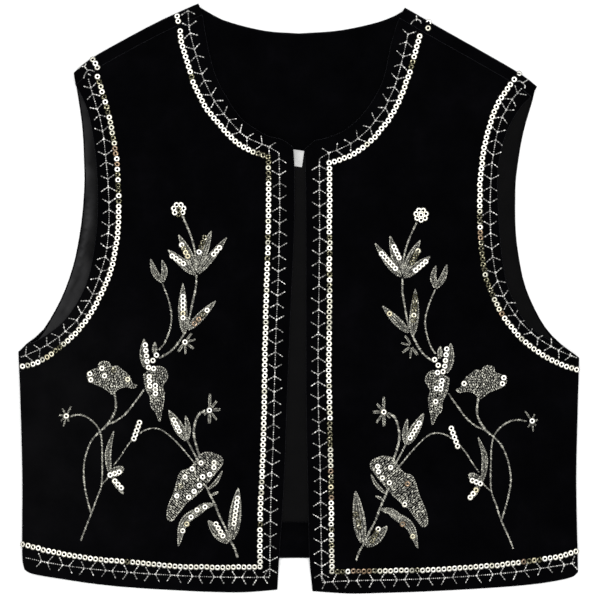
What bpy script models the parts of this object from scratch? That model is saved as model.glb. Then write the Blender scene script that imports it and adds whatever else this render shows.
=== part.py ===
"""Cropped sleeveless velvet vest, laid flat on its back with both fronts on top.

The tables are in millimetres. X runs across the vest, Y from hem to neck and Z up from the
surface it lies on. The vest faces up, so the wearer's right half lies at -X. The origin is the
middle of the laid outline, at the height of the surface. Tables give each half its own columns,
because a soft vest never lies quite evenly.
"""

import math
from collections import namedtuple

import bmesh
import bpy
import numpy as np

MM = 0.001

# The wearer's sides, as the sign of X
RIGHT = -1
LEFT = 1

# Thickness of each cloth, and the gap that neighbouring pieces keep
VELVET = 2.0
LINING = 1.0
SEAM_GAP = 0.3

# Heights above the surface: the back's outer face is its underside, the others' is their top
BACK_LEVEL = 0.0
INSIDE_LEVEL = VELVET + SEAM_GAP + LINING
LABEL_LEVEL = INSIDE_LEVEL + SEAM_GAP + LINING
FRONT_LEVEL = INSIDE_LEVEL + 0.5 + VELVET
FRONT_REST = VELVET + 0.3

# The back wraps over the shoulder and comes forward to the shoulder seam
FOLD_RADIUS = FRONT_LEVEL / 2
FOLD_STEPS = 6
FOLD_OVER = 10.0

# Side seams: both panels curl towards each other over this width, and the curl fades out over a
# few sections above the underarm. The fronts lie calm within this distance of the shoulder seam
ROLL_WIDTH = 5.0
ROLL_FADE = 3
SEAM_LEVEL = 2.9
SEAM_CALM = 30.0

# The fronts are longer than the back and fall to the surface past its hem
FALL_START = 1.0
FALL_WIDTH = 12.0

# Inner pieces stop short of the velvet's edge
EDGE_SHOW = 1.2
SIDE_TUCK = 5.6
FOLD_TUCK = FOLD_RADIUS + 0.5
HEM_FACING = 29.5
NECK_FACING = 97.0
FACING_REACH = 0.38
FACING_LEAN = 0.3
FACING_ROWS = 5
TUCK_FADE = 4
LINING_CORNER = 0.03
CHEST = (0.0, 60.0)

# Blank tag in the seam below the neck facing
LABEL_WIDTH = 30.0
LABEL_HEIGHT = 13.5
LABEL_CORNER = (4.5, 121.2)
LABEL_TURN = math.radians(-8.0)
LABEL_LIFT = 1.75
LABEL_LIFT_MIDDLE = (-14.5, 114.5)
LABEL_SPREAD = (24.0, 21.0)

# Sections along each edge of a panel: a fine band at the hem, then even steps
HEM_BAND = 5
SIDE_BAND = 0.17
CENTRE_BAND = 0.1
SIDE_STEPS = 14
ARM_STEPS = 26
CENTRE_STEPS = 28
NECK_STEPS = SIDE_STEPS + ARM_STEPS - CENTRE_STEPS
ACROSS = (0, 0.008, 0.026, 0.07, 0.15, 0.25, 0.36, 0.48, 0.6, 0.73, 0.86, 1)
INSIDE_ACROSS = (0, 0.1, 0.25, 0.42, 0.6, 0.8, 1)
CURVE_STEPS = 24
WELD = 0.01
SHARP = math.radians(40)

Pair = namedtuple("Pair", "right_out right_up left_out left_up")
Arm = namedtuple("Arm", "up back_right back_left front_right front_left")
Swell = namedtuple("Swell", "side out up length width turn height")

# Side seam, from the hem corner of the front up to the underarm
SIDE_SEAM = (
    Pair(225.2, -222.6, 229.4, -224.6),
    Pair(227.0, -214.0, 229.0, -212.0),
    Pair(227.0, -148.0, 227.8, -148.0),
    Pair(228.6, -83.0, 229.2, -83.0),
    Pair(230.2, -43.5, 230.2, -48.5),
)

# Hem of the back, from the side to the centre back
BACK_HEM = (
    Pair(226.8, -218.0, 228.8, -218.0),
    Pair(150.0, -216.0, 150.0, -216.0),
    Pair(75.0, -214.0, 75.0, -214.0),
    Pair(0.0, -213.3, 0.0, -213.3),
)

# Hem of the fronts, from the side to the front edge
FRONT_HEM = (
    Pair(225.2, -222.6, 229.4, -224.6),
    Pair(221.0, -225.4, 226.0, -228.2),
    Pair(203.0, -229.2, 210.0, -232.4),
    Pair(155.6, -236.2, 182.0, -236.2),
    Pair(82.6, -241.0, 110.0, -240.8),
    Pair(40.0, -241.8, 50.0, -242.6),
    Pair(20.5, -242.0, 14.0, -242.6),
    Pair(17.6, -239.6, 11.2, -240.8),
)

# Armhole edges of the back and the fronts, by height above the middle
ARMHOLE = (
    Arm(-41.0, 229.4, 220.5, 228.2, 219.5),
    Arm(-34.0, 219.6, 211.8, 214.0, 206.0),
    Arm(-26.0, 210.5, 204.4, 201.5, 192.5),
    Arm(-17.5, 204.8, 198.7, 192.0, 184.6),
    Arm(-1.0, 195.8, 190.4, 180.6, 175.7),
    Arm(15.0, 189.3, 184.7, 173.5, 170.2),
    Arm(31.5, 184.3, 181.4, 169.5, 167.2),
    Arm(48.0, 181.0, 179.0, 167.0, 165.4),
    Arm(64.5, 178.5, 178.0, 165.4, 164.2),
    Arm(81.0, 177.0, 178.0, 165.0, 163.4),
    Arm(97.0, 176.2, 178.4, 165.4, 163.0),
    Arm(113.5, 176.6, 180.5, 166.4, 164.4),
    Arm(130.0, 177.2, 183.2, 168.4, 168.3),
    Arm(146.5, 178.6, 187.2, 171.4, 175.4),
    Arm(160.0, 180.6, 191.4, 175.4, 184.6),
)

# Fold along the top of the shoulder, from its tip to the neck
SHOULDER = (
    Pair(184.8, 185.8, 195.8, 174.3),
    Pair(173.5, 195.6, 184.0, 183.6),
    Pair(145.0, 212.0, 149.4, 203.8),
    Pair(114.0, 228.4, 119.9, 220.4),
    Pair(82.6, 242.6, 87.2, 239.2),
)

# Way from the fold towards the shoulder seam, at the tip and at the neck
SHOULDER_RUN = (
    Pair(-0.17, -1.05, -0.52, -0.86),
    Pair(-0.35, -0.95, -0.48, -0.88),
)

# Neck edge of the back, from the centre back out to the shoulder
BACK_NECK = (
    Pair(0.0, 218.0, 0.0, 218.0),
    Pair(28.0, 220.2, 33.0, 220.4),
    Pair(60.5, 228.4, 62.0, 226.4),
    Pair(73.6, 235.0, 77.0, 231.6),
)

# Front edge, from the hem corner up to the neck corner
FRONT_EDGE = (
    Pair(17.6, -239.6, 11.2, -240.8),
    Pair(16.2, -214.0, 8.8, -214.0),
    Pair(12.1, -152.0, 7.4, -152.0),
    Pair(9.6, -83.0, 6.1, -83.0),
    Pair(7.0, -17.6, 5.9, -17.6),
    Pair(3.6, 62.0, 5.9, 62.0),
    Pair(3.6, 108.0, 5.4, 108.0),
    Pair(4.6, 124.4, 4.6, 122.4),
)

# Neck edge of the fronts, from the neck corner up to the shoulder seam
FRONT_NECK = (
    Pair(4.6, 124.4, 4.6, 122.4),
    Pair(7.4, 128.7, 7.4, 128.0),
    Pair(21.6, 131.9, 18.0, 130.6),
    Pair(34.2, 138.2, 34.6, 136.5),
    Pair(46.7, 147.5, 48.6, 147.2),
    Pair(56.0, 160.1, 60.0, 161.6),
    Pair(67.9, 182.0, 69.1, 179.2),
    Pair(75.0, 208.7, 76.5, 212.0),
)

# Long soft rises in the laid fronts. The turn is in degrees from the upright
SWELLS = (
    Swell(RIGHT, 150.0, -70.0, 150.0, 52.0, -38.0, 1.3),
    Swell(RIGHT, 92.0, 70.0, 190.0, 60.0, 12.0, 0.9),
    Swell(RIGHT, 118.0, -180.0, 90.0, 42.0, -8.0, 0.8),
    Swell(LEFT, 158.0, -82.0, 140.0, 46.0, 44.0, 1.1),
    Swell(LEFT, 104.0, 96.0, 170.0, 56.0, -16.0, 1.0),
    Swell(LEFT, 82.0, -150.0, 120.0, 48.0, 10.0, 0.9),
)


def clear_scene():
    for obj in list(bpy.data.objects):
        bpy.data.objects.remove(obj, do_unlink=True)


def material(name, colour, roughness):
    made = bpy.data.materials.new(name)
    made.use_nodes = True
    shader = made.node_tree.nodes["Principled BSDF"]
    shader.inputs["Base Color"].default_value = (*colour, 1.0)
    shader.inputs["Roughness"].default_value = roughness
    shader.inputs["Metallic"].default_value = 0.0
    return made


def ease(amount):
    """0 to 1 with a soft start and end."""
    amount = np.clip(amount, 0.0, 1.0)
    return amount * amount * (3 - 2 * amount)


def table_points(table, side):
    """The columns of one half as (x, y)."""
    if side == RIGHT:
        return np.array([(-row.right_out, row.right_up) for row in table])
    return np.array([(row.left_out, row.left_up) for row in table])


def fine_curve(points):
    """A smooth curve through the points, as many short steps."""
    padded = np.vstack([2 * points[0] - points[1], points, 2 * points[-1] - points[-2]])
    along = np.linspace(0, 1, CURVE_STEPS, endpoint=False)[:, None]
    pieces = []
    for a, b, c, d in zip(padded, padded[1:], padded[2:], padded[3:]):
        reach = np.linalg.norm(c - b)
        leave = (c - a) / (np.linalg.norm(b - a) + reach) * reach
        arrive = (d - b) / (np.linalg.norm(d - c) + reach) * reach
        pieces.append(
            (2 * along**3 - 3 * along**2 + 1) * b
            + (along**3 - 2 * along**2 + along) * leave
            + (3 * along**2 - 2 * along**3) * c
            + (along**3 - along**2) * arrive
        )
    return np.vstack([*pieces, points[-1]])


def at_fractions(points, fractions):
    """Points at these fractions of the length of the smooth curve through the given points."""
    curve = fine_curve(np.asarray(points, float))
    steps = np.linalg.norm(np.diff(curve, axis=0), axis=1)
    length = np.concatenate([[0.0], np.cumsum(steps)])
    wanted = np.asarray(fractions) * length[-1]
    return np.stack([np.interp(wanted, length, curve[:, k]) for k in range(2)], axis=1)


def joined(first, second):
    """Two stretches of an edge that meet in a corner."""
    return np.vstack([first, second[1:]])


def banded(steps, share):
    """Fractions with a fine band at the start and even steps after it."""
    band = np.linspace(0, share, HEM_BAND + 1)
    return np.concatenate([band[:-1], np.linspace(share, 1, steps - HEM_BAND + 1)])


def even(steps):
    return np.linspace(0, 1, steps + 1)


def inset(line, distance, inside):
    """The line moved by the distance at each point, square to itself, towards the inside point."""
    way = np.gradient(line, axis=0)
    way /= np.linalg.norm(way, axis=1)[:, None]
    square = np.stack([-way[:, 1], way[:, 0]], axis=1)
    facing = np.sign(np.sum(square * (np.asarray(inside) - line), axis=1))
    return line + square * facing[:, None] * np.reshape(distance, (-1, 1))


def patch(hem, outer, inner, top, across):
    """A grid of points that fills the space between four edges."""
    s = np.asarray(across)[None, :, None]
    t = even(len(outer) - 1)[:, None, None]
    ruled = (1 - t) * hem[None] + t * top[None] + (1 - s) * outer[:, None] + s * inner[:, None]
    corners = (1 - s) * (1 - t) * hem[0] + s * (1 - t) * hem[-1]
    return ruled - corners - (1 - s) * t * top[0] - s * t * top[-1]


def shoulder_line(side, inward, across):
    """The shoulder fold moved this far towards the seam."""
    fold = at_fractions(table_points(SHOULDER, side), across)
    tip_run, neck_run = table_points(SHOULDER_RUN, side)
    share = np.asarray(across)[:, None]
    return fold + inward * ((1 - share) * tip_run + share * neck_run)


def armhole_points(side, panel, lowest, highest):
    column = f"{panel}_{'right' if side == RIGHT else 'left'}"
    rows = [(side * getattr(row, column), row.up) for row in ARMHOLE]
    return np.array([lowest, *rows, highest])


def outer_edge(side, panel, corner, highest):
    seam = table_points(SIDE_SEAM, side)
    seam[0] = corner
    below = at_fractions(seam, banded(SIDE_STEPS, SIDE_BAND))
    arm = armhole_points(side, panel, seam[-1], highest)
    return joined(below, at_fractions(arm, even(ARM_STEPS)))


def side_roll(grid, change):
    """Height change that curls a panel's side edge towards its neighbour."""
    from_edge = np.linalg.norm(grid - grid[:, :1], axis=2)
    rows = np.arange(len(grid))
    weight = 1 - ease((rows - SIDE_STEPS) / ROLL_FADE)
    return change * weight[:, None] * (1 - ease(from_edge / ROLL_WIDTH))


def raised(grid, height):
    return np.concatenate([grid, np.broadcast_to(height, grid.shape[:2])[..., None]], axis=2)


def back_hem_height(x):
    """Height of the back's hem at each distance across."""
    right = table_points(BACK_HEM, RIGHT)
    left = table_points(BACK_HEM, LEFT)[::-1]
    hem = np.vstack([right, left[1:]])
    return np.interp(x, hem[:, 0], hem[:, 1])


def back_half(side):
    top = shoulder_line(side, FOLD_RADIUS, ACROSS)
    hem = at_fractions(table_points(BACK_HEM, side), ACROSS)
    outer = outer_edge(side, "back", hem[0], top[0])
    neck = np.vstack([table_points(BACK_NECK, side), top[-1]])
    centre = np.array([hem[-1], neck[0]])
    inner = joined(
        at_fractions(centre, banded(CENTRE_STEPS, CENTRE_BAND)),
        at_fractions(neck, even(NECK_STEPS)),
    )
    flat = patch(hem, outer, inner, top, ACROSS)
    lift = SEAM_LEVEL - SEAM_GAP / 2 - VELVET
    rows = [*raised(flat, BACK_LEVEL + side_roll(flat, lift))]
    for step in range(1, FOLD_STEPS + 1):
        angle = math.pi * (step / FOLD_STEPS - 0.5)
        line = shoulder_line(side, FOLD_RADIUS * (1 - math.cos(angle)), ACROSS)
        height = FOLD_RADIUS * (1 + math.sin(angle))
        rows.append(raised(line[None], height)[0])
    for share in (0.5, 1.0):
        inward = FOLD_RADIUS + share * (FOLD_OVER - FOLD_RADIUS)
        rows.append(raised(shoulder_line(side, inward, ACROSS)[None], FRONT_LEVEL)[0])
    return np.array(rows)


def swell_height(side, grid):
    height = np.zeros(grid.shape[:2])
    for swell in SWELLS:
        if swell.side != side:
            continue
        turn = math.radians(swell.turn)
        offset = grid - (side * swell.out, swell.up)
        along = offset[..., 1] * math.cos(turn) + offset[..., 0] * math.sin(turn)
        aside = offset[..., 0] * math.cos(turn) - offset[..., 1] * math.sin(turn)
        reach = (2 * along / swell.length) ** 2 + (2 * aside / swell.width) ** 2
        height += swell.height * np.exp(-reach)
    return height


def label_lift(grid):
    """The right front rises where it covers the tag."""
    reach = (grid - LABEL_LIFT_MIDDLE) / LABEL_SPREAD
    return LABEL_LIFT * np.exp(-0.5 * np.sum(reach**2, axis=2))


def front(side):
    top = shoulder_line(side, FOLD_OVER + SEAM_GAP, ACROSS)
    hem = at_fractions(table_points(FRONT_HEM, side), ACROSS)
    outer = outer_edge(side, "front", hem[0], top[0])
    neck = np.vstack([table_points(FRONT_NECK, side), top[-1]])
    inner = joined(
        at_fractions(table_points(FRONT_EDGE, side), banded(CENTRE_STEPS, CENTRE_BAND)),
        at_fractions(neck, even(NECK_STEPS)),
    )
    flat = patch(hem, outer, inner, top, ACROSS)
    past_hem = back_hem_height(flat[..., 0]) - flat[..., 1]
    fall = ease((past_hem - FALL_START) / FALL_WIDTH)
    soft = swell_height(side, flat)
    if side == RIGHT:
        soft += label_lift(flat)
    soft *= ease(np.linalg.norm(flat - flat[-1:], axis=2) / SEAM_CALM)
    roll = side_roll(flat, SEAM_LEVEL + SEAM_GAP / 2 + VELVET - FRONT_LEVEL)
    height = (FRONT_LEVEL + soft + roll) * (1 - fall) + FRONT_REST * fall
    return raised(flat, height)


def facing_lower_edge(side):
    """Half-moon edge of the neck facing, from the centre back up to the shoulder."""
    fold = at_fractions(table_points(SHOULDER, side), (FACING_REACH,))[0]
    end = fold + np.array((-side * FACING_LEAN, -1.0)) * FOLD_TUCK
    lowest = BACK_NECK[0].right_up - NECK_FACING
    angle = np.linspace(0, math.pi / 2, NECK_STEPS + 1)
    rise = (end[1] - lowest) * (1 - np.cos(angle))
    return np.stack([end[0] * np.sin(angle), lowest + rise], axis=1)


def neck_facing_half(side):
    neck = np.vstack([table_points(BACK_NECK, side), shoulder_line(side, FOLD_TUCK, (1.0,))])
    upper = inset(at_fractions(neck, even(NECK_STEPS)), EDGE_SHOW, CHEST)
    upper[0, 0] = 0.0
    lower = facing_lower_edge(side)
    share = even(FACING_ROWS)[:, None, None]
    return raised((1 - share) * upper[None] + share * lower[None], INSIDE_LEVEL)


def hem_facing_line(side, height):
    line = at_fractions(table_points(BACK_HEM, side), INSIDE_ACROSS)
    line[0, 0] -= side * SIDE_TUCK
    return line + (0, height)


def hem_facing_half(side):
    lines = [hem_facing_line(side, height) for height in np.linspace(EDGE_SHOW, HEM_FACING, 3)]
    return raised(np.array(lines), INSIDE_LEVEL)


def lining_half(side):
    """The lining, inset from the back's own edge and cut out round the neck facing."""
    back = back_half(side)[: SIDE_STEPS + ARM_STEPS + 1, 0, :2]
    hem = hem_facing_line(side, HEM_FACING + SEAM_GAP)
    above_underarm = np.arange(len(back)) - SIDE_STEPS
    tuck = SIDE_TUCK + (EDGE_SHOW - SIDE_TUCK) * ease(above_underarm / TUCK_FADE)
    outer = inset(back, tuck, CHEST)
    outer = outer[outer[:, 1] > hem[0, 1] + SIDE_TUCK]
    outer[-1] = shoulder_line(side, FOLD_TUCK, (LINING_CORNER,))[0]
    clear = inset(facing_lower_edge(side), -SEAM_GAP, table_points(BACK_NECK, side)[0])
    clear[0, 0] = 0.0
    top = outer[-1] + (clear[-1] - outer[-1]) * np.array(INSIDE_ACROSS)[:, None]
    steps = len(outer) - NECK_STEPS
    centre = np.array([hem[-1], clear[0]])
    inner = joined(at_fractions(centre, even(steps)), clear)
    flat = patch(hem, np.vstack([hem[:1], outer]), inner, top, INSIDE_ACROSS)
    return raised(flat, INSIDE_LEVEL)


def label_grid():
    """The blank tag, turned a little about its corner in the seam."""
    rows = []
    for down in (0.0, -LABEL_HEIGHT):
        line = []
        for across in (-LABEL_WIDTH, -LABEL_WIDTH / 2, 0.0):
            x = across * math.cos(LABEL_TURN) - down * math.sin(LABEL_TURN)
            y = across * math.sin(LABEL_TURN) + down * math.cos(LABEL_TURN)
            line.append((LABEL_CORNER[0] + x, LABEL_CORNER[1] + y, LABEL_LEVEL))
        rows.append(line)
    return np.array(rows)


def turned(grid, faces_up):
    """The grid with its faces wound so that the outer side faces up or down."""
    normal = np.cross(grid[0, 1] - grid[0, 0], grid[1, 0] - grid[0, 0])
    return grid if (normal[2] > 0) == faces_up else grid[:, ::-1]


def wall(name, grids, thickness, finish, collection):
    """One named cloth piece: its grids joined where they meet, with a wall that grows inwards."""
    work = bmesh.new()
    for grid in grids:
        outer_side = turned(grid, name != "back_panel")
        points = [[work.verts.new(point * MM) for point in row] for row in outer_side]
        for below, above in zip(points, points[1:]):
            for a, b, c, d in zip(below, below[1:], above[1:], above):
                work.faces.new((a, b, c, d))
    bmesh.ops.remove_doubles(work, verts=work.verts, dist=WELD * MM)
    mesh = bpy.data.meshes.new(name)
    work.to_mesh(mesh)
    work.free()
    mesh.materials.append(finish)
    mesh.shade_smooth()
    mesh.set_sharp_from_angle(angle=SHARP)
    piece = bpy.data.objects.new(name, mesh)
    collection.objects.link(piece)
    solid = piece.modifiers.new("Wall", "SOLIDIFY")
    solid.thickness = thickness * MM
    solid.offset = -1.0
    solid.use_even_offset = True
    return piece


def main():
    clear_scene()
    vest = bpy.data.collections.new("Velvet vest")
    bpy.context.scene.collection.children.link(vest)
    outside = (0.004, 0.004, 0.005)
    finishes = {
        "back_panel": material("Back velvet", outside, 0.95),
        "front_right": material("Right front velvet", outside, 0.95),
        "front_left": material("Left front velvet", outside, 0.95),
        "back_neck_facing": material("Neck facing velvet", outside, 0.95),
        "back_hem_facing": material("Hem facing velvet", outside, 0.95),
        "back_lining": material("Lining satin", (0.010, 0.010, 0.012), 0.45),
        "label": material("Tag", (0.80, 0.80, 0.78), 0.70),
    }
    both = (RIGHT, LEFT)
    pieces = {
        "back_panel": ([back_half(side) for side in both], VELVET),
        "back_lining": ([lining_half(side) for side in both], LINING),
        "back_neck_facing": ([neck_facing_half(side) for side in both], LINING),
        "back_hem_facing": ([hem_facing_half(side) for side in both], LINING),
        "label": ([label_grid()], LINING),
        "front_right": ([front(RIGHT)], VELVET),
        "front_left": ([front(LEFT)], VELVET),
    }
    for name, (grids, thickness) in pieces.items():
        wall(name, grids, thickness, finishes[name], vest)


main()
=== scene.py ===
"""Looks of the laid velvet vest: its cloth, sequin rows, stitched trim and flower sprays.

Tables are in millimetres in the vest's own frame. "out" is the distance from the centre to either
side, "up" is Y, and the wearer's right half lies at -X.
"""
import math
from collections import namedtuple
from functools import partial

import bmesh
import bpy
import numpy as np
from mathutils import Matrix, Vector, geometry, kdtree
from mathutils.bvhtree import BVHTree


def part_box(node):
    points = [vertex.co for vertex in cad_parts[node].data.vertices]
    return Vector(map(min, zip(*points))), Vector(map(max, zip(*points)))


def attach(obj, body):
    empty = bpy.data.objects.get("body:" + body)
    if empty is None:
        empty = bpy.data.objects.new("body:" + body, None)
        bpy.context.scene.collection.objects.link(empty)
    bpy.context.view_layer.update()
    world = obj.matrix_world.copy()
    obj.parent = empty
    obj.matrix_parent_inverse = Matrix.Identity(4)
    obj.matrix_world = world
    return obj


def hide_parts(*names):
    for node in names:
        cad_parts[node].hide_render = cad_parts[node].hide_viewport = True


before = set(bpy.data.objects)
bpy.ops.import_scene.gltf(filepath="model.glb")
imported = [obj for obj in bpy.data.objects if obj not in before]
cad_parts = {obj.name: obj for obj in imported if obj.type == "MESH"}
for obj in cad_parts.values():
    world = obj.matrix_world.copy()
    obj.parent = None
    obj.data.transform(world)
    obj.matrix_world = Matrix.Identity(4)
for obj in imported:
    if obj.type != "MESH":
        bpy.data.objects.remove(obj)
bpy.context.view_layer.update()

MM = 0.001
RIGHT = -1
LEFT = 1
random = np.random.default_rng(11)

# Camera straight above the vest; the photograph is 492 mm wide at the height of the cloth
VIEW_WIDTH = 492.0
VIEW_MIDDLE = (1.0, -1.2)
VEST_TOP = 6.0
LENS = 100.0
SENSOR = 36.0

SEQUIN_RADIUS = 2.42
SEQUIN_HOLE = 1.02
SEQUIN_PITCH = 4.35
SEQUIN_SIDES = 22
# How high a sequin's middle lies over the cloth, and what the spray's stitches add to it
SEQUIN_REST = 0.34
SPRAY_LIFT = 0.34
# How deep a stitch's ends are drawn in, a leaf's width of thread and the shortest filling stitch
SUNK_ENDS = 0.08
LEAF_THREAD = 0.66
SHORTEST = 0.6
# The height given where there is no cloth, and one that only the shoulder strips reach
OFF_CLOTH = 0.0
STRAP_HEIGHT = 3.5
# The longest step along a cloth's edge
EDGE_STEP = 1.6
# Where the rays that look for a surface start
ABOVE_ALL = 50.0

# A cloth's relief is what its creases add to the height, its shade a vertex value for the material
# and how it is found (painted bloom or painted highlight), and its flat size and area are in metres
Cloth = namedtuple("Cloth", "node finish thickness spacing round relief shade flat area")
Crease = namedtuple("Crease", "side out up to_out to_up width height")
Row = namedtuple("Row", "side name points")
Trim = namedtuple("Trim", "side name marks points")
Stem = namedtuple("Stem", "width points")
Leaf = namedtuple("Leaf", "out up tip_out tip_up width lean")
Ray = namedtuple("Ray", "out up turn length width")
Beads = namedtuple("Beads", "shines out up to_out to_up", defaults=(None, None))
Head = namedtuple("Head", "out up radius shines")
Fill = namedtuple("Fill", "turn reach apart outline")

# Soft folds in the laid cloth, from one end to the other. A negative height is a trough
CREASES = {
    "front": (
        Crease(RIGHT, 208, -58, 120, -8, 16, 0.55),
        Crease(RIGHT, 214, -84, 128, -52, 18, -0.35),
        Crease(RIGHT, 196, -120, 150, -210, 20, 0.45),
        Crease(RIGHT, 128, 176, 104, 96, 15, 0.40),
        Crease(RIGHT, 92, 190, 72, 128, 12, -0.30),
        Crease(RIGHT, 60, -60, 52, -190, 22, 0.35),
        Crease(LEFT, 206, -66, 132, -2, 17, 0.50),
        Crease(LEFT, 216, -96, 140, -66, 18, -0.35),
        Crease(LEFT, 200, -140, 166, -212, 20, 0.40),
        Crease(LEFT, 132, 170, 112, 84, 14, 0.40),
        Crease(LEFT, 94, 178, 70, 118, 12, -0.30),
        Crease(LEFT, 58, -40, 66, -180, 22, 0.35),
    ),
    "back_lining": (
        Crease(RIGHT, 172, 176, 170, 60, 4, 0.45),
        Crease(RIGHT, 178, 120, 184, 20, 3.5, -0.40),
        Crease(RIGHT, 176, 44, 214, -34, 4, 0.45),
        Crease(RIGHT, 190, 6, 222, -40, 3.5, -0.35),
        Crease(LEFT, 176, 150, 172, 40, 4, 0.40),
        Crease(LEFT, 176, 60, 204, -30, 4, -0.35),
        Crease(RIGHT, 4, 100, 10, -60, 5, 0.30),
        Crease(LEFT, 3, -40, 6, -180, 5, 0.30),
    ),
}

# Centre line of the sequin rows
SEQUIN_ROWS = (
    Row(RIGHT, "armhole", ((169.0, 196.0), (167.0, 192.8), (165.3, 189.3))),
    Row(RIGHT, "armhole", (
        (165.2, 182.0), (161.3, 170.1), (158.9, 161.9), (155.6, 149.6), (153.1, 136.5),
        (150.7, 123.4), (149.0, 111.9), (148.2, 97.2), (147.6, 80.8), (148.0, 61.9), (149.2, 48.0),
        (151.5, 34.9), (154.0, 23.4), (157.2, 14.3), (162.2, 3.7), (168.6, -8.6), (176.1, -20.1),
        (185.1, -30.7), (195.8, -39.8), (206.4, -48.0), (217.1, -53.4), (226.6, -55.6),
    )),
    Row(RIGHT, "neck", ((99.8, 231.6), (99.0, 227.5))),
    Row(RIGHT, "neck", (
        (97.4, 219.3), (96.4, 211.1), (94.1, 202.9), (91.6, 194.8), (89.2, 186.5), (85.9, 175.9),
        (81.3, 166.0), (76.9, 157.8), (72.0, 150.8), (66.2, 143.9), (55.4, 132.0), (48.2, 125.9),
        (37.5, 120.4), (30.1, 118.0), (25.2, 116.0),
    )),
    Row(RIGHT, "edge", (
        (24.8, 111.5), (24.8, 80.8), (25.2, 48.0), (26.0, 23.4), (26.6, -1.2), (27.1, -17.6),
        (27.7, -42.2), (28.2, -79.1), (29.0, -109.5), (30.2, -144.7), (31.6, -177.5),
        (31.8, -216.0),
    )),
    Row(RIGHT, "hem", (
        (32.0, -220.2), (52.3, -220.6), (83.4, -220.4), (101.5, -219.8), (118.7, -218.0),
        (135.9, -216.3), (158.9, -214.4), (174.5, -212.6), (190.0, -210.1), (205.6, -206.9),
        (226.4, -201.5),
    )),
    Row(LEFT, "armhole", ((181.0, 184.6), (178.8, 182.2), (176.6, 179.8))),
    Row(LEFT, "armhole", (
        (173.5, 175.6), (171.4, 172.6), (167.5, 166.9), (161.9, 157.0), (157.6, 145.5),
        (154.4, 134.1), (151.1, 117.7), (149.4, 103.7), (148.6, 89.0), (148.7, 56.2), (152.5, 21.7),
        (160.1, 0.4), (168.3, -15.2), (182.2, -32.4), (197.8, -44.7), (214.2, -53.6),
        (228.0, -58.4),
    )),
    Row(LEFT, "neck", ((106.8, 226.7), (106.0, 221.8))),
    Row(LEFT, "neck", (
        (99.0, 215.2), (97.8, 210.3), (95.7, 202.1), (93.2, 193.1), (91.0, 185.7), (88.2, 177.5),
        (85.2, 169.3), (79.9, 157.0), (75.6, 149.6), (70.7, 142.3), (65.0, 135.7), (59.2, 129.4),
        (48.6, 120.9), (41.2, 116.8), (33.0, 113.6), (25.0, 111.1),
    )),
    Row(LEFT, "edge", (
        (25.2, 106.7), (25.2, 27.5), (25.2, -1.2), (24.8, -42.2), (24.7, -66.8), (25.2, -84.9),
        (25.6, -116.0), (26.2, -140.6), (26.5, -165.2), (26.8, -198.0), (27.3, -220.0),
    )),
    Row(LEFT, "hem", (
        (27.3, -224.3), (50.2, -223.9), (83.0, -223.4), (100.2, -223.0), (120.7, -222.0),
        (140.4, -220.6), (160.9, -218.9), (178.1, -216.9), (201.1, -213.6), (215.9, -211.0),
        (227.4, -207.4),
    )),
)

# Runs of sequins that turn away from the light, shown by painted shade: along each row, the share
# of it from and to, and the tints there one after the other: s for silver, p for a paler one, g for
# gold, c for copper and d for one painted dark with speckled painted glints
PAINTED_SHADE_RUNS = {
    (RIGHT, "armhole"): ((0.000, 0.385, "sdssdsddspppdpccscsdsddsd"), (0.850, 0.990, "pddggpssp"),),
    (RIGHT, "neck"): ((0.285, 0.295, "d"), (0.890, 1.000, "pddd"),),
    (RIGHT, "edge"): (
        (0.000, 0.042, "dpdd"), (0.134, 0.148, "p"), (0.174, 0.202, "dp"), (0.228, 0.242, "d"),
        (0.798, 0.812, "p"), (0.898, 0.912, "d"),
    ),
    (RIGHT, "hem"): ((0.550, 0.562, "d"),),
    (LEFT, "armhole"): ((0.390, 0.720, "pddsccddddddpddddppgc"),),
    (LEFT, "neck"): ((0.155, 0.200, "d"),),
    (LEFT, "edge"): (
        (0.165, 0.192, "dp"), (0.204, 0.218, "d"), (0.258, 0.310, "dsdp"), (0.328, 0.405, "p"),
        (0.540, 0.620, "psssppd"), (0.636, 0.700, "d"), (0.702, 0.750, "p"),
        (0.756, 0.832, "cddgdc"), (0.904, 0.965, "dspdpp"),
    ),
    (LEFT, "hem"): ((0.000, 0.200, "pddsccccdp"), (0.325, 0.352, "pd"), (0.775, 0.860, "cdgd"),),
}
# Rows this short, past the shoulder seam, have no runs of painted shade
SHORT_ROW = 6

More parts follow.
